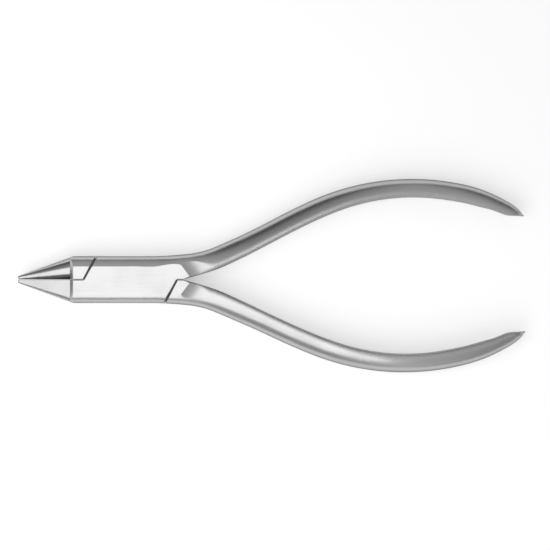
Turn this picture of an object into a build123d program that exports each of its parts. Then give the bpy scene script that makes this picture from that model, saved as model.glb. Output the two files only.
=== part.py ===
from build123d import *
from math import cos, hypot, pi, radians, sin, sqrt
import os

os.makedirs("parts", exist_ok=True)

# Bird-beak wire-bending pliers with a long box joint, lying flat and closed.
# Millimetres. The pin's axis is the Z axis and the back face of the box lies on z = 0.
# The beaks point to -X, the handles to +X, the female half's handle to +Y.
# The solids are built about the middle plane of the box and lifted at the end.

# Box joint. Its sides are rounded to a superellipse, and its two faces are ground flat.
BOX_WIDTH = 12.0
BOX_THICKNESS = 7.8
BOX_FRONT = 14.7
BOX_FULLNESS = 3.5
BOX_HEEL = 1.5
FACE_GRIND = 0.15
SEAM_AT_SIDE = 8.75
SEAM_RUN = 3.25
JOINT_GAP = 0.10

# Web of the male half and the slot of the female half that it passes through
WEB_THICKNESS = 3.5
WEB_SIDE_CLEARANCE = 0.05
WEB_PAST_SEAM = 0.19
WEB_END_CLEARANCE = 0.35
WEB_CORNER_RADIUS = 0.6

# Steep breaks along the edges of the seams, measured from the middle of the seam
SEAM_BREAK = 0.32
SEAM_BREAK_DEPTH = 0.7
PARTING_BREAK = 0.20
PARTING_BREAK_DEPTH = 0.4
SLOT_BREAK = 0.16
SLOT_BREAK_DEPTH = 0.3

# Hollow where each ground face ends and runs down to the thinner handle. Its edge crosses
# the middle at this x and comes forward by the slant for each millimetre to the side.
RELIEF_AT_MIDDLE = 15.8
RELIEF_SLANT = 0.742
RELIEF_LENGTH = 4.3
RELIEF_DEPTH = 0.57

# Rivet pin
PIN_RADIUS = 2.0
PIN_HEAD_RADIUS = 2.5
PIN_HEAD_DEPTH = 0.6
PIN_RUNNING_CLEARANCE = 0.03

# Beaks: the cone is on the male half and the pyramid on the female half
BEAK_LENGTH = 14.3
SHOULDER_RUN = 0.75
SHOULDER_DROP = 0.95
ROOT_IN_SHOULDER = 0.3
CONE_ROOT_DIAMETER = 5.9
CONE_TIP_DIAMETER = 0.85
CONE_SET_BACK = 0.02
PYRAMID_ROOT_THICKNESS = 6.1
PYRAMID_TIP_THICKNESS = 0.85
PYRAMID_TIP_DEPTH = 0.8
PYRAMID_ROOT_ROUNDING = 1.25
PYRAMID_TIP_ROUNDING = 0.36
TIP_ROUNDING = 0.28

HALF_THICKNESS = BOX_THICKNESS / 2
HALF_WIDTH = BOX_WIDTH / 2
SEAM_AT_MIDDLE = SEAM_AT_SIDE + SEAM_RUN
SHOULDER_FOOT = -BOX_FRONT - SHOULDER_RUN
BEAK_ROOT_X = SHOULDER_FOOT + ROOT_IN_SHOULDER
TIP_X = -BOX_FRONT - BEAK_LENGTH
HALF_GAP = JOINT_GAP / 2
PYRAMID_SIDE_SLOPE = (HALF_WIDTH - HALF_GAP - PYRAMID_TIP_DEPTH) / BEAK_LENGTH
WEB_RADIUS = hypot(SEAM_AT_SIDE, HALF_WIDTH) + WEB_PAST_SEAM
SLOT_THICKNESS = WEB_THICKNESS + 2 * WEB_SIDE_CLEARANCE
SLOT_RADIUS = WEB_RADIUS + WEB_END_CLEARANCE
FAR = 150.0

# Outer edge of a handle in plan, as tangent arcs of a length and a turn in degrees,
# from a point on the side of the box: rise, bend, shank, ease, palm and end.
COURSE_START = 4.0
ROOT_INSIDE_BOX = 28.0
SECTION_STEP = 4.5
FEMALE_COURSE = ((12.2, 7.3), (4.3, 14.5), (17.7, 6.4), (10.9, -3.6), (40.2, -36.6), (17.4, -26.2))
MALE_COURSE = ((12.2, 7.3), (4.3, 14.5), (17.7, 3.5), (10.9, -3.5), (40.6, -36.4), (16.9, -24.2))

# Sections of a handle, flat on the inside and rounded on the outside. Each row holds the
# distance along the outer edge, depth, half width, fullness of the rounded side,
# length of the straight heel and bevel of the two inner edges. The first rows are the
# box itself, which reaches past the middle line by its heel, and its run-out.
HANDLE_SECTIONS = (
    (0.0, HALF_WIDTH + BOX_HEEL, HALF_THICKNESS + FACE_GRIND, BOX_FULLNESS, BOX_HEEL, 0.08),
    (5.0, HALF_WIDTH + BOX_HEEL, HALF_THICKNESS + 0.18, 3.4, 1.4, 0.10),
    (8.5, HALF_WIDTH + 0.30, HALF_THICKNESS + 0.30, 3.0, 0.8, 0.20),
    (11.1, HALF_WIDTH - 0.07, HALF_THICKNESS + 0.02, 2.7, 0.8, 0.35),
    (13.0, HALF_WIDTH - 0.23, HALF_THICKNESS - 0.25, 2.5, 0.8, 0.40),
    (14.9, HALF_WIDTH - 0.44, HALF_THICKNESS - 0.40, 2.20, 0.65, 0.40),
    (18.5, 5.50, 3.42, 1.85, 0.50, 0.38),
    (23.0, 5.38, 3.38, 1.74, 0.45, 0.38),
    (31.5, 5.16, 3.45, 1.70, 0.45, 0.38),
    (45.8, 5.18, 3.70, 1.72, 0.45, 0.38),
    (59.8, 4.89, 3.86, 1.82, 0.50, 0.38),
    (71.5, 4.72, 3.90, 1.92, 0.55, 0.38),
    (82.7, 4.68, 3.75, 2.00, 0.60, 0.38),
    (91.7, 4.25, 3.30, 2.05, 0.65, 0.38),
    (96.3, 3.55, 2.85, 2.10, 0.65, 0.35),
)
# The rounded end starts at this distance, with this depth, half width and length.
END_START = 100.2
END_DEPTH = 2.70
END_FINAL_DEPTH = 0.75
END_HALF_WIDTH = 2.30
END_LENGTH = 3.1
END_HEEL_SHARE = 0.25
END_BEVEL_SHARE = 0.12
END_ANGLES = (0.0, 25.0, 45.0, 61.0, 73.0, 81.0)


def course_place(course, distance):
    """Point and heading, in radians, at a distance along a chain of tangent arcs."""
    x = COURSE_START + min(distance, 0)
    y = HALF_WIDTH
    heading = 0.0
    distance = max(distance, 0)
    for number, (length, turn) in enumerate(course):
        last = number == len(course) - 1
        step = distance if last else min(distance, length)
        radius = length / radians(turn)
        new_heading = heading + step / radius
        x += radius * (sin(new_heading) - sin(heading))
        y -= radius * (cos(new_heading) - cos(heading))
        heading = new_heading
        distance -= step
    return x, y, heading


def crown_points(depth, half_width, fullness, count=11):
    """Points of half a superellipse, from one side over the crown to the other side."""
    points = []
    for i in range(count):
        angle = pi / 2 - pi * i / (count - 1)
        across = abs(cos(angle)) / depth
        along = abs(sin(angle)) / half_width
        reach = (across**fullness + along**fullness) ** (-1 / fullness)
        points.append((reach * cos(angle), reach * sin(angle)))
    return points


def d_section(plane, depth, half_width, fullness, heel, bevel, inset=0.0):
    """A D-shaped face: crown at the plane's origin, flat side at local x = depth."""
    crown = [
        (depth - heel - a, b) for a, b in crown_points(depth - heel - inset, half_width, fullness)
    ]
    side = half_width - bevel
    edges = [
        Spline(crown, tangents=[(-1, 0), (1, 0)]),
        Line(crown[-1], (depth - bevel, -half_width)),
        Line((depth - bevel, -half_width), (depth, -side)),
        Line((depth, -side), (depth, side)),
        Line((depth, side), (depth - bevel, half_width)),
        Line((depth - bevel, half_width), crown[0]),
    ]
    return plane * make_face(edges)


def section_sizes(distance):
    """Sizes of the handle's section at a distance, by smooth steps between the rows."""
    rows = HANDLE_SECTIONS
    distance = max(distance, rows[0][0])
    after = next(i for i, row in enumerate(rows) if row[0] >= distance and i > 0)
    start, end = rows[after - 1], rows[after]
    span = end[0] - start[0]
    t = (distance - start[0]) / span
    before = rows[max(after - 2, 0)]
    beyond = rows[min(after + 1, len(rows) - 1)]
    sizes = []
    for column in range(1, len(start)):
        chord = (end[column] - start[column]) / span
        slopes = []
        for near, far in ((before, start), (end, beyond)):
            side = (far[column] - near[column]) / max(far[0] - near[0], 0.001)
            same_way = side * chord > 0
            slopes.append(2 * side * chord / (side + chord) if same_way else 0.0)
        rise = end[column] - start[column]
        size = start[column] + rise * t * t * (3 - 2 * t)
        size += span * t * (1 - t) * (slopes[0] * (1 - t) - slopes[1] * t)
        sizes.append(size)
    return sizes


def section_plane(course, distance):
    """Plane across a handle, with its origin on the outer edge and local x inwards."""
    x, y, heading = course_place(course, distance)
    return Plane(
        origin=(x, y, 0),
        x_dir=(sin(heading), -cos(heading), 0),
        z_dir=(cos(heading), sin(heading), 0),
    )


def end_sections(course):
    """Sections of the rounded end, where the outer edge comes down to the inner one."""
    fullness = HANDLE_SECTIONS[-1][3]
    faces = []
    for degrees in END_ANGLES:
        size = cos(radians(degrees))
        reach = sin(radians(degrees))
        depth = END_DEPTH + (END_FINAL_DEPTH - END_DEPTH) * reach
        thickness = depth * size
        faces.append(
            d_section(
                section_plane(course, END_START + END_LENGTH * reach),
                depth,
                END_HALF_WIDTH * size,
                fullness,
                END_HEEL_SHARE * thickness,
                END_BEVEL_SHARE * thickness,
                depth - thickness,
            )
        )
    return faces


def side_body(course):
    """The box's half and its handle in one run of sections, on the +Y side."""
    last = HANDLE_SECTIONS[-1][0]
    steps = round((last + ROOT_INSIDE_BOX) / SECTION_STEP)
    faces = []
    for i in range(steps + 1):
        distance = last * i / steps - ROOT_INSIDE_BOX * (steps - i) / steps
        faces.append(d_section(section_plane(course, distance), *section_sizes(distance)))
    faces.extend(end_sections(course))
    return (loft(faces) & flat_half()) - face_reliefs()


def flat_half():
    """The space between the two ground faces on the +Y side of the middle."""
    return Box(2 * FAR, FAR, BOX_THICKNESS, align=(Align.CENTER, Align.MIN, Align.CENTER))


def face_reliefs():
    """Cylinders that hollow the handle's root behind the ground faces, on the +Y side."""
    radius = (RELIEF_LENGTH**2 + RELIEF_DEPTH**2) / (2 * RELIEF_DEPTH)
    reach = RELIEF_LENGTH / hypot(1, RELIEF_SLANT)
    height = HALF_THICKNESS - RELIEF_DEPTH + radius
    hollows = []
    for side in (-1, 1):
        middle = (RELIEF_AT_MIDDLE + reach, reach * RELIEF_SLANT, side * height)
        plane = Plane(origin=middle, x_dir=(0, 0, 1), z_dir=(-RELIEF_SLANT, 1, 0))
        hollows.append(plane * Cylinder(radius, 2 * radius))
    return hollows


def shoulder_wedge(half_size, drop):
    """Profile that narrows by a drop on each side over the shoulder's run, and goes no further."""
    reach = FAR * SHOULDER_RUN / drop
    profile = Polyline(
        (SHOULDER_FOOT, half_size - drop),
        (SHOULDER_FOOT + reach, half_size - drop + FAR),
        (SHOULDER_FOOT + reach, drop - half_size - FAR),
        (SHOULDER_FOOT, drop - half_size),
        close=True,
    )
    return make_face(profile)


def front_mask():
    """What the beaks' shoulders leave of the box: sloped faces and tapered sides."""
    faces = extrude(Plane.XZ * shoulder_wedge(HALF_THICKNESS, SHOULDER_DROP), amount=FAR, both=True)
    side_drop = PYRAMID_SIDE_SLOPE * SHOULDER_RUN
    sides = extrude(shoulder_wedge(HALF_WIDTH, side_drop), amount=BOX_THICKNESS, both=True)
    return faces & sides


def cone_beak():
    """A round taper whose side lies along the parting plane, a hair back from it."""
    circles = []
    slope = (CONE_ROOT_DIAMETER - CONE_TIP_DIAMETER) / BEAK_LENGTH
    for x in (BEAK_ROOT_X, TIP_X):
        diameter = CONE_TIP_DIAMETER + slope * (x - TIP_X)
        y = HALF_GAP + CONE_SET_BACK + diameter / 2
        plane = Plane(origin=(x, y, 0), x_dir=(0, 1, 0), z_dir=(-1, 0, 0))
        circles.append(plane * Circle(diameter / 2))
    beak = loft(circles, ruled=True)
    tip = beak.edges().sort_by(Axis.X)[0]
    return fillet(tip, TIP_ROUNDING)


def pyramid_section(x):
    """Section of the pyramid beak, square at the parting plane and rounded at its outer edges."""
    share = (x - TIP_X) / BEAK_LENGTH
    depth = PYRAMID_TIP_DEPTH + PYRAMID_SIDE_SLOPE * (x - TIP_X)
    half = (PYRAMID_TIP_THICKNESS + (PYRAMID_ROOT_THICKNESS - PYRAMID_TIP_THICKNESS) * share) / 2
    rounding = PYRAMID_TIP_ROUNDING + (PYRAMID_ROOT_ROUNDING - PYRAMID_TIP_ROUNDING) * share
    corner = depth - rounding
    bow = depth - rounding * (1 - sqrt(0.5))
    side = half - rounding
    edges = [
        Line((0, half), (0, -half)),
        Line((0, -half), (corner, -half)),
        ThreePointArc((corner, -half), (bow, -side - rounding * sqrt(0.5)), (depth, -side)),
        Line((depth, -side), (depth, side)),
        ThreePointArc((depth, side), (bow, side + rounding * sqrt(0.5)), (corner, half)),
        Line((corner, half), (0, half)),
    ]
    return Plane(origin=(x, -HALF_GAP, 0), x_dir=(0, -1, 0), z_dir=(-1, 0, 0)) * make_face(edges)


def pyramid_beak():
    """A four-sided taper, flat on the parting plane, on the -Y side."""
    beak = loft([pyramid_section(BEAK_ROOT_X), pyramid_section(TIP_X)], ruled=True)
    tip = beak.faces().sort_by(Axis.X)[0]
    return fillet(tip.edges(), TIP_ROUNDING)


def cheek_plan(gap):
    """Plan of all that is female at the level of the cheeks, drawn back by a gap."""
    far_seam = SEAM_AT_MIDDLE - SEAM_RUN * FAR / HALF_WIDTH
    plan = Polyline(
        (-FAR, 0),
        (-SEAM_AT_MIDDLE, 0),
        (-far_seam, FAR),
        (2 * FAR, FAR),
        (2 * FAR, 0),
        (SEAM_AT_MIDDLE, 0),
        (far_seam, -FAR),
        (-FAR, -FAR),
        close=True,
    )
    return offset(make_face(plan), amount=-gap, kind=Kind.INTERSECTION)


def through(plan, thickness):
    """A plan made into a slab of this thickness about the middle plane."""
    return extrude(plan, amount=thickness / 2, both=True)


def joint_disc(radius, thickness):
    """Round plate about the pin with rounded rims, for the web and for its slot."""
    disc = Cylinder(radius, thickness)
    return fillet(disc.edges().filter_by(GeomType.CIRCLE), WEB_CORNER_RADIUS)


def web_plate(radius, thickness, gap):
    """The plate through the joint, with the two quarters that join the male's ends."""
    reach = SEAM_AT_MIDDLE + 1
    quarter = Box(reach, reach, thickness, align=(Align.MIN, Align.MIN, Align.CENTER))
    plate = joint_disc(radius, thickness)
    plate += Pos(-reach, gap, 0) * quarter
    plate += Pos(0, -reach - gap, 0) * quarter
    return plate


def seam_plane(x, y):
    """Plane of the slanted seam at the front, with its origin moved to a point on it."""
    return Plane(origin=(x, y, 0), x_dir=(-SEAM_RUN, -HALF_WIDTH, 0), z_dir=(HALF_WIDTH, -SEAM_RUN, 0))


def seam_break(side):
    """Steep V along the front slanted seam, over both faces and round a side at this y."""
    slant = hypot(SEAM_RUN, HALF_WIDTH)
    across = HALF_WIDTH / slant
    depth, half_width, fullness, heel, bevel = section_sizes(0)
    faces = []
    for shift, sunk in ((-SEAM_BREAK, 0), (0, SEAM_BREAK_DEPTH), (SEAM_BREAK, 0)):
        x = -SEAM_AT_SIDE + (side - HALF_WIDTH) * SEAM_RUN / HALF_WIDTH + shift / across
        section = d_section(
            seam_plane(x, side),
            depth / across,
            half_width - sunk,
            fullness,
            heel / across,
            bevel,
            sunk / across,
        )
        faces.append(section)
    middle = seam_plane(-SEAM_AT_MIDDLE + SEAM_RUN / 2, HALF_WIDTH / 2)
    slab = extrude(middle * Rectangle(2 * slant, 2 * BOX_THICKNESS), amount=SEAM_BREAK, both=True)
    slab &= Box(FAR, FAR, FAR, align=(Align.CENTER, Align.MIN, Align.CENTER))
    return slab - loft(faces, ruled=True) - Box(FAR, FAR, WEB_THICKNESS)


def groove_bar(start, end, half_width, depth):
    """Bar along X that cuts a V into a face of which the bar's middle lies on the surface."""
    corners = [(-half_width, 0), (0, -depth), (half_width, 0), (0, depth)]
    section = Plane(origin=(start, 0, 0), x_dir=(0, 1, 0), z_dir=(1, 0, 0)) * make_face(
        Polyline(*corners, close=True)
    )
    return extrude(section, amount=end - start)


def edge_breaks():
    """All V-shaped breaks: slanted seams, parting line on both faces, and slot's long edges."""
    rear_side = course_place(MALE_COURSE, SEAM_AT_SIDE - COURSE_START)[1]
    tools = [seam_break(HALF_WIDTH), Rot(0, 0, 180) * seam_break(rear_side)]
    parting = groove_bar(SEAM_AT_MIDDLE, BOX_FRONT, PARTING_BREAK, PARTING_BREAK_DEPTH)
    slot_end = sqrt(SLOT_RADIUS**2 - HALF_WIDTH**2)
    slot_edge = Rot(90, 0, 0) * groove_bar(-SEAM_AT_SIDE, slot_end, SLOT_BREAK, SLOT_BREAK_DEPTH)
    level = (SLOT_THICKNESS + WEB_THICKNESS) / 4
    for face in (-1, 1):
        for turn in (0, 180):
            tools.append(Rot(0, 0, turn) * Pos(0, 0, face * HALF_THICKNESS) * parting)
            tools.append(Rot(0, 0, turn) * Pos(0, HALF_WIDTH, face * level) * slot_edge)
    return tools


def pin_shape(radius, head_radius):
    """Turned rivet with a sunk head at each end, flush with both faces of the box."""
    neck = HALF_THICKNESS - PIN_HEAD_DEPTH
    profile = Polyline(
        (0, -HALF_THICKNESS),
        (head_radius, -HALF_THICKNESS),
        (radius, -neck),
        (radius, neck),
        (head_radius, HALF_THICKNESS),
        (0, HALF_THICKNESS),
        close=True,
    )
    return revolve(Plane.XZ * make_face(profile), Axis.Z)


def main():
    upper = side_body(FEMALE_COURSE) & front_mask()
    lower = mirror(side_body(MALE_COURSE), about=Plane.XZ) & front_mask()
    body = upper + lower
    female_plan = cheek_plan(HALF_GAP)
    male_plan = Rectangle(4 * FAR, 4 * FAR) - cheek_plan(-HALF_GAP)

    female = (body & through(female_plan, BOX_THICKNESS)) + pyramid_beak()
    female -= web_plate(SLOT_RADIUS, SLOT_THICKNESS, -HALF_GAP)
    female -= pin_shape(PIN_RADIUS, PIN_HEAD_RADIUS)
    female = female - edge_breaks()

    male = (body & through(male_plan, BOX_THICKNESS)) + cone_beak()
    male += body & web_plate(WEB_RADIUS, WEB_THICKNESS, HALF_GAP)
    male -= Cylinder(PIN_RADIUS + PIN_RUNNING_CLEARANCE, BOX_THICKNESS)
    male = male - edge_breaks()

    pieces = {
        "female_half": female,
        "male_half": male,
        "joint_pin": pin_shape(PIN_RADIUS, PIN_HEAD_RADIUS),
    }
    for name, piece in pieces.items():
        export_step(Pos(0, 0, HALF_THICKNESS) * piece, f"parts/{name}.step")


main()
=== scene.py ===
import math

import bpy
from bpy.props import FloatProperty, FloatVectorProperty, PointerProperty, StringProperty
from bpy.types import Operator, Panel, PropertyGroup
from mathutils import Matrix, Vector

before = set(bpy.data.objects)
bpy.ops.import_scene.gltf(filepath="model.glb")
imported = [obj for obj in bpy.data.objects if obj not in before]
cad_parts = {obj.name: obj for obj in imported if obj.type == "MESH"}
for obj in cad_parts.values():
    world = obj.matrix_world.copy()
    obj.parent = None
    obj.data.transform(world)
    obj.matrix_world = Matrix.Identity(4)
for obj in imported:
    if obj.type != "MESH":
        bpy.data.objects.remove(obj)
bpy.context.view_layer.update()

bl_info = {
    "name": "Bird-beak pliers",
    "version": (1, 0, 0),
    "blender": (4, 5, 0),
    "location": "View3D > Sidebar > Pliers",
    "description": "Gives wire-bending pliers their satin steel finish and sets them on a pale stage",
    "category": "Object",
}

MM = 0.001
# Width of the camera's sensor in millimetres, the unit of its focal length too
SENSOR_WIDTH = 36.0
# The floor lies this far below the box's back face, so that the two don't share a plane.
FLOOR_GAP = 0.1 * MM
# Brush lines are this many times longer than they are wide, and this deep at full strength.
LINE_STRETCH = 30
LINE_DEPTH = 0.02 * MM
# Share of clean steel's colour that is left in the darkest brush line or hand patch
FAINT_SHADE = 0.965
# The clean spots between hand patches are smoother than the steel's roughness, the patches rougher.
PATCH_POLISH = 0.02
PATCH_HAZE = 0.04
# What the painted shade in the seams adds to the roughness
PAINTED_SHADE_HAZE = 0.4
# Every Map Range node here steps smoothly from one value to the other.
SMOOTH = {"interpolation_type": "SMOOTHSTEP"}


def linear(colour):
    """Linear red, green, blue and alpha of an sRGB hex colour such as #C8C9CB."""
    channels = [int(colour[i : i + 2], 16) / 255 for i in (1, 3, 5)]
    return [c / 12.92 if c <= 0.04045 else ((c + 0.055) / 1.055) ** 2.4 for c in channels] + [1.0]


def new_material(name):
    """A material with an empty node tree, and its tree."""
    material = bpy.data.materials.new(name)
    material.use_nodes = True
    material.node_tree.nodes.clear()
    return material, material.node_tree


def add_node(tree, kind, settings=None, **inputs):
    """Adds a node with these settings and inputs.

    Settings are the node's attributes. An input has its socket's name, with _ for each space, or is
    _ and the socket's number. It takes a value, a socket, or a node, which gives its first output.
    """
    node = tree.nodes.new(kind)
    for name, value in (settings or {}).items():
        setattr(node, name, value)
    for name, value in inputs.items():
        key = int(name[1:]) if name[1:].isdigit() else name.replace("_", " ")
        socket = node.inputs[key]
        if isinstance(value, bpy.types.Node):
            value = value.outputs[0]
        if isinstance(value, bpy.types.NodeSocket):
            tree.links.new(value, socket)
        else:
            socket.default_value = value
    return node


def stainless_steel(name, finish):
    """Stainless steel, satin polished along its length and handled a little.

    Forged, ground on a belt along its length and then brushed on a soft wheel. The brush leaves
    fine lengthwise lines that soften each reflection, and the hand leaves faint duller patches.
    """
    material, tree = new_material(name)
    place = add_node(tree, "ShaderNodeTexCoord").outputs["Object"]
    drawn_out = add_node(tree, "ShaderNodeMapping", Vector=place, Scale=(1 / LINE_STRETCH, 1, 1))
    lines = add_node(
        tree, "ShaderNodeTexNoise", Vector=drawn_out, Scale=1 / finish.line_spacing, Detail=4.0
    )
    patches = add_node(tree, "ShaderNodeTexNoise", Vector=place, Scale=1 / finish.patch_size, Detail=3.0)
    dullness = add_node(
        tree,
        "ShaderNodeMapRange",
        SMOOTH,
        Value=patches,
        From_Min=0.35,
        From_Max=0.75,
        To_Min=finish.roughness - PATCH_POLISH,
        To_Max=finish.roughness + PATCH_HAZE,
    )

    # Lines and patches are at most a few hundredths darker than clean steel.
    patch_tone = add_node(
        tree,
        "ShaderNodeMapRange",
        SMOOTH,
        Value=patches,
        From_Min=0.3,
        From_Max=0.7,
        To_Min=1.0,
        To_Max=FAINT_SHADE,
    )
    line_tone = add_node(
        tree,
        "ShaderNodeMapRange",
        SMOOTH,
        Value=lines,
        From_Min=0.25,
        From_Max=0.75,
        To_Min=FAINT_SHADE,
        To_Max=1.0,
    )
    tone = add_node(tree, "ShaderNodeMath", {"operation": "MULTIPLY"}, _0=patch_tone, _1=line_tone)
    clean = linear(finish.steel)[:3]
    steel = add_node(tree, "ShaderNodeVectorMath", {"operation": "SCALE"}, Vector=clean, Scale=tone)

    # Painted shade: the joint's seams and tight corners, found by ambient occlusion, are matt grey, not
    # metal.
    open_sky = add_node(tree, "ShaderNodeAmbientOcclusion", {"samples": 8}, Distance=finish.painted_shade_depth)
    metal = add_node(
        tree,
        "ShaderNodeMapRange",
        SMOOTH,
        Value=open_sky.outputs["AO"],
        From_Min=0.3,
        From_Max=0.85,
        To_Min=0.0,
        To_Max=1.0,
    )
    # The Mix node's two colours are its sockets 6 and 7, and their mix is its output 2.
    shade = add_node(
        tree, "ShaderNodeMix", {"data_type": "RGBA"}, _0=metal, _6=linear(finish.paste), _7=steel
    )
    # Where the shade is painted: 1 deep in the seams and corners, 0 on open steel.
    paste = add_node(tree, "ShaderNodeMath", {"operation": "SUBTRACT"}, _0=1.0, _1=metal)
    roughening = {"operation": "MULTIPLY_ADD", "use_clamp": True}
    dullness = add_node(tree, "ShaderNodeMath", roughening, _0=paste, _1=PAINTED_SHADE_HAZE, _2=dullness)

    # Edges broken by hand on the wheel catch a thin line of light. The handles are rounded over
    # more, and no edge is left round the pin, which is ground flush with the box.
    along = add_node(tree, "ShaderNodeSeparateXYZ", Vector=place).outputs["X"]
    rounding = add_node(
        tree,
        "ShaderNodeMapRange",
        SMOOTH,
        Value=along,
        From_Min=finish.handle_start[0],
        From_Max=finish.handle_start[1],
        To_Min=finish.box_rounding,
        To_Max=finish.handle_rounding,
    )
    # The pin's axis is the frame's Z axis, so the distance from it is the length in X and Y.
    flat = add_node(tree, "ShaderNodeMapping", Vector=place, Scale=(1, 1, 0))
    from_pin = add_node(tree, "ShaderNodeVectorMath", {"operation": "LENGTH"}, _0=flat)
    rounding = add_node(
        tree,
        "ShaderNodeMapRange",
        SMOOTH,
        Value=from_pin.outputs["Value"],
        From_Min=finish.pin_surround[0],
        From_Max=finish.pin_surround[1],
        To_Min=0.0,
        To_Max=rounding,
    )
    edges = add_node(tree, "ShaderNodeBevel", {"samples": 8}, Radius=rounding)
    bump = add_node(
        tree,
        "ShaderNodeBump",
        Strength=finish.grain_depth,
        Distance=LINE_DEPTH,
        Height=lines,
        Normal=edges,
    )
    shader = add_node(
        tree,
        "ShaderNodeBsdfPrincipled",
        Base_Color=shade.outputs[2],
        Metallic=metal,
        Roughness=dullness,
        Specular_Tint=linear(finish.edge_tint),
        Normal=bump,
    )
    add_node(tree, "ShaderNodeOutputMaterial", Surface=shader)
    return material


def white_floor(name, colour, lift):
    """Matt white paper that shows white to the camera and in the steel.

    The lift is light that only they see: it falls on nothing, and the paper keeps its shadows.
    """
    material, tree = new_material(name)
    path = add_node(tree, "ShaderNodeLightPath").outputs
    seen = add_node(
        tree,
        "ShaderNodeMath",
        {"operation": "ADD"},
        _0=path["Is Camera Ray"],
        _1=path["Is Glossy Ray"],
    )
    seen = add_node(
        tree,
        "ShaderNodeMath",
        {"operation": "ADD", "use_clamp": True},
        _0=seen,
        _1=path["Is Transmission Ray"],
    )
    strength = add_node(tree, "ShaderNodeMath", {"operation": "MULTIPLY"}, _0=seen, _1=lift)
    paper = add_node(tree, "ShaderNodeBsdfDiffuse", Color=linear(colour))
    glow = add_node(tree, "ShaderNodeEmission", Strength=strength)
    both = add_node(tree, "ShaderNodeAddShader", _0=paper, _1=glow)
    add_node(tree, "ShaderNodeOutputMaterial", Surface=both)
    return material


def studio_ceiling(tree, direction, setup):
    """Light of the ceiling, an oval that fades out round its edge, and of the room beyond it.

    Places on the ceiling are given by their leans from straight up, towards +X and towards +Y.
    """
    leans = [
        add_node(tree, "ShaderNodeMath", {"operation": "ARCTAN2"}, _0=direction[axis], _1=direction["Z"])
        for axis in "XY"
    ]
    spot = add_node(tree, "ShaderNodeCombineXYZ", X=leans[0], Y=leans[1])
    # A mapping of this type takes the middle away and divides by the reach.
    offset = add_node(
        tree,
        "ShaderNodeMapping",
        {"vector_type": "TEXTURE"},
        Vector=spot,
        Location=(*setup.ceiling_middle, 0),
        Scale=(*setup.ceiling_reach, 1),
    )
    distance = add_node(tree, "ShaderNodeVectorMath", {"operation": "LENGTH"}, _0=offset)
    return add_node(
        tree,
        "ShaderNodeMapRange",
        SMOOTH,
        Value=distance.outputs["Value"],
        From_Min=1 - setup.ceiling_fade,
        From_Max=1 + setup.ceiling_fade,
        To_Min=setup.room_level + setup.ceiling_level,
        To_Max=setup.room_level,
    )


def studio_walls(tree, direction, setup):
    """Light of the walls, which fade out upwards and turn dark towards +Y."""
    height = add_node(tree, "ShaderNodeMath", {"operation": "ARCSINE"}, _0=direction["Z"])
    walls = add_node(
        tree,
        "ShaderNodeMapRange",
        SMOOTH,
        Value=height,
        From_Min=setup.wall_height[0],
        From_Max=setup.wall_height[1],
        To_Min=setup.wall_level,
        To_Max=0.0,
    )
    return add_node(
        tree,
        "ShaderNodeMapRange",
        SMOOTH,
        Value=direction["Y"],
        From_Min=setup.dark_side[0],
        From_Max=setup.dark_side[1],
        To_Min=walls,
        To_Max=0.0,
    )


def studio_sky(tree, setup):
    """The pale ceiling and walls of the studio, as the world's light. Both end walls are brighter."""
    tree.nodes.clear()
    direction = add_node(tree, "ShaderNodeTexCoord").outputs["Generated"]
    direction = add_node(tree, "ShaderNodeSeparateXYZ", Vector=direction).outputs
    sideways = add_node(tree, "ShaderNodeMath", {"operation": "ABSOLUTE"}, _0=direction["X"])
    gain = add_node(
        tree,
        "ShaderNodeMapRange",
        SMOOTH,
        Value=sideways,
        From_Min=setup.end_walls[0],
        From_Max=setup.end_walls[1],
        To_Min=1.0,
        To_Max=setup.end_wall_gain,
    )
    level = add_node(
        tree,
        "ShaderNodeMath",
        {"operation": "MULTIPLY_ADD"},
        _0=studio_walls(tree, direction, setup),
        _1=gain,
        _2=studio_ceiling(tree, direction, setup),
    )
    back = add_node(tree, "ShaderNodeBackground", Strength=level)
    add_node(tree, "ShaderNodeOutputWorld", Surface=back)


def degrees(*angles):
    """Angles in radians, for the defaults below."""
    return [math.radians(angle) for angle in angles]


class PliersFinish(PropertyGroup):
    steel: StringProperty(name="Steel", description="sRGB hex colour of the steel", default="#C0C0C0")
    edge_tint: StringProperty(
        name="Edge tint",
        description="sRGB hex colour of the sheen where the steel is seen almost edge on",
        default="#7A7A7A",
    )
    # Colour of the shade painted into the seams and tight corners
    paste: StringProperty(
        name="Paste", description="sRGB hex colour of the paste left in the seams", default="#A0A0A0"
    )
    # Reach of the ambient occlusion that picks where the shade is painted
    painted_shade_depth: FloatProperty(
        name="Paste depth",
        description="How near the steel's walls must be to each other to hold paste",
        default=0.5 * MM,
        unit="LENGTH",
    )
    roughness: FloatProperty(
        name="Roughness", description="Roughness of the satin steel", default=0.22, min=0.0, max=1.0
    )
    grain_depth: FloatProperty(
        name="Grain", description="Strength of the brush lines", default=0.3, min=0.0, max=1.0
    )
    # Real brush lines are some 0.02 mm apart. They are drawn at 0.3 mm, the finest that shows.
    line_spacing: FloatProperty(
        name="Line spacing", description="Width of a brush line", default=0.3 * MM, unit="LENGTH"
    )
    patch_size: FloatProperty(
        name="Patch size", description="Width of a hand patch", default=9 * MM, unit="LENGTH"
    )
    box_rounding: FloatProperty(
        name="Box rounding",
        description="Radius of the box's and the beaks' edges",
        default=0.16 * MM,
        unit="LENGTH",
    )
    handle_rounding: FloatProperty(
        name="Handle rounding",
        description="Radius to which the handles' ridges are rounded over",
        default=2.2 * MM,
        unit="LENGTH",
    )
    handle_start: FloatVectorProperty(
        name="Handle start",
        description="Places along X between which the box's rounding grows to the handles'",
        size=2,
        default=(16.5 * MM, 21 * MM),
        unit="LENGTH",
    )
    pin_surround: FloatVectorProperty(
        name="Pin surround",
        description="Distances from the pin's axis between which the rounding of edges sets in",
        size=2,
        default=(3 * MM, 4 * MM),
        unit="LENGTH",
    )


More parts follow.
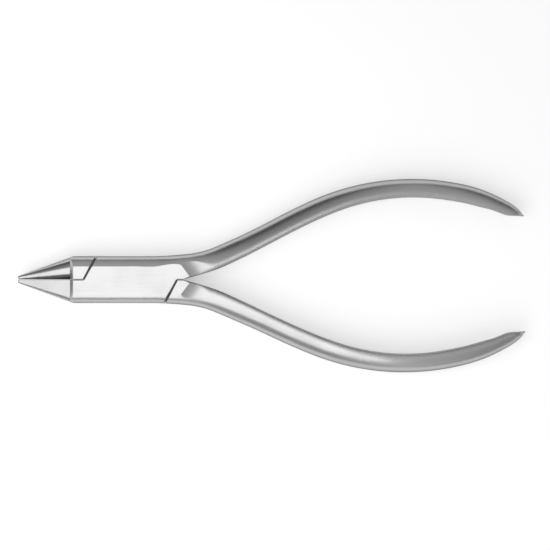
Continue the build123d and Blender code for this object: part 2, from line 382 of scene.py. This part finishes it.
class StageSetup(PropertyGroup):
    floor: StringProperty(name="Floor", description="sRGB hex colour of the paper", default="#F8F8F8")
    floor_lift: FloatProperty(name="Floor lift", description="Light that the floor adds", default=0.4)
    floor_size: FloatProperty(
        name="Floor size", description="Side of the square floor", default=6.0, unit="LENGTH"
    )
    softbox_level: FloatProperty(name="Softbox", description="Brightness of the softbox", default=1.22)
    softbox_middle: FloatVectorProperty(
        name="Softbox middle",
        description="Place of the softbox's middle",
        default=(-65 * MM, -172 * MM, 250 * MM),
        unit="LENGTH",
    )
    softbox_size: FloatVectorProperty(
        name="Softbox size",
        description="Width and length of the softbox",
        size=2,
        default=(230 * MM, 455 * MM),
        unit="LENGTH",
    )
    ceiling_level: FloatProperty(name="Ceiling", description="Brightness of the ceiling", default=0.62)
    ceiling_middle: FloatVectorProperty(
        name="Ceiling middle",
        description="Leans of the ceiling's middle from straight up, towards +X and +Y",
        size=2,
        default=degrees(4, -5),
        unit="ROTATION",
    )
    ceiling_reach: FloatVectorProperty(
        name="Ceiling reach",
        description="Angles from its middle to the middle of its edge, along X and Y",
        size=2,
        default=degrees(36, 105),
        unit="ROTATION",
    )
    ceiling_fade: FloatProperty(
        name="Ceiling fade",
        description="Share of the reach over which the edge fades, inwards and outwards alike",
        default=0.89,
    )
    room_level: FloatProperty(name="Room", description="Brightness of the whole room", default=0.13)
    wall_level: FloatProperty(name="Walls", description="What the walls add at the horizon", default=0.4)
    wall_height: FloatVectorProperty(
        name="Wall height",
        description="Heights above the horizon between which the walls fade out",
        size=2,
        default=degrees(10, 45),
        unit="ROTATION",
    )
    dark_side: FloatVectorProperty(
        name="Dark side",
        description="Parts of the way towards +Y between which the walls turn dark",
        size=2,
        default=(0.3, 0.85),
    )
    end_walls: FloatVectorProperty(
        name="End walls",
        description="Parts of the way towards -X or +X between which the walls grow brighter",
        size=2,
        default=(0.5, 0.9),
    )
    end_wall_gain: FloatProperty(name="End wall gain", description="How many times brighter", default=2.2)
    view_width: FloatProperty(
        name="View width",
        description="Width of the camera's picture at the pliers",
        default=141.47 * MM,
        unit="LENGTH",
    )
    view_centre: FloatVectorProperty(
        name="View centre",
        description="Point in the middle of the picture",
        default=(37.09 * MM, 1.18 * MM, 3.9 * MM),
        unit="LENGTH",
    )
    lens: FloatProperty(name="Lens", description="Focal length in millimetres", default=300.0)


class PLIERS_OT_finish(Operator):
    """Give the steel pieces their finish"""

    bl_idname = "pliers.finish"
    bl_label = "Finish steel"

    def execute(self, context):
        material = stainless_steel("satin_steel", context.scene.pliers_finish)
        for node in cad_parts.values():
            for slot in node.material_slots:
                slot.material = material
        return {"FINISHED"}


class PLIERS_OT_stage(Operator):
    """Set the floor, the studio's light and the camera above the pliers"""

    bl_idname = "pliers.stage"
    bl_label = "Set stage"

    def execute(self, context):
        setup = context.scene.pliers_stage
        scene = context.scene

        bpy.ops.mesh.primitive_plane_add(size=setup.floor_size, location=(0, 0, -FLOOR_GAP))
        floor = context.active_object
        floor.name = "floor"
        floor.data.materials.append(white_floor("white_paper", setup.floor, setup.floor_lift))

        lamp = bpy.data.lights.new("softbox", "AREA")
        lamp.shape = "RECTANGLE"
        lamp.size, lamp.size_y = setup.softbox_size
        # A lamp's power is its brightness times its area, and times pi for the half sphere it lights.
        lamp.energy = setup.softbox_level * math.pi * lamp.size * lamp.size_y
        softbox = bpy.data.objects.new("softbox", lamp)
        softbox.location = setup.softbox_middle
        softbox.visible_camera = False
        scene.collection.objects.link(softbox)

        world = bpy.data.worlds.new("studio")
        world.use_nodes = True
        studio_sky(world.node_tree, setup)
        scene.world = world

        data = bpy.data.cameras.new("camera")
        data.lens = setup.lens
        data.sensor_width = SENSOR_WIDTH
        camera = bpy.data.objects.new("camera", data)
        height = setup.view_width * setup.lens / SENSOR_WIDTH
        camera.location = Vector(setup.view_centre) + Vector((0, 0, height))
        scene.collection.objects.link(camera)
        scene.camera = camera
        scene.view_settings.view_transform = "Standard"
        return {"FINISHED"}


class PLIERS_PT_panel(Panel):
    bl_idname = "PLIERS_PT_panel"
    bl_label = "Pliers"
    bl_space_type = "VIEW_3D"
    bl_region_type = "UI"
    bl_category = "Pliers"

    def draw(self, context):
        for operator in OPERATORS:
            self.layout.operator(operator.bl_idname)


OPERATORS = (PLIERS_OT_finish, PLIERS_OT_stage)
CLASSES = (PliersFinish, StageSetup, *OPERATORS, PLIERS_PT_panel)


def register():
    for cls in CLASSES:
        bpy.utils.register_class(cls)
    bpy.types.Scene.pliers_finish = PointerProperty(type=PliersFinish)
    bpy.types.Scene.pliers_stage = PointerProperty(type=StageSetup)


def unregister():
    del bpy.types.Scene.pliers_stage
    del bpy.types.Scene.pliers_finish
    for cls in reversed(CLASSES):
        bpy.utils.unregister_class(cls)


def main():
    register()
    bpy.ops.pliers.finish()
    bpy.ops.pliers.stage()


if __name__ == "__main__":
    main()
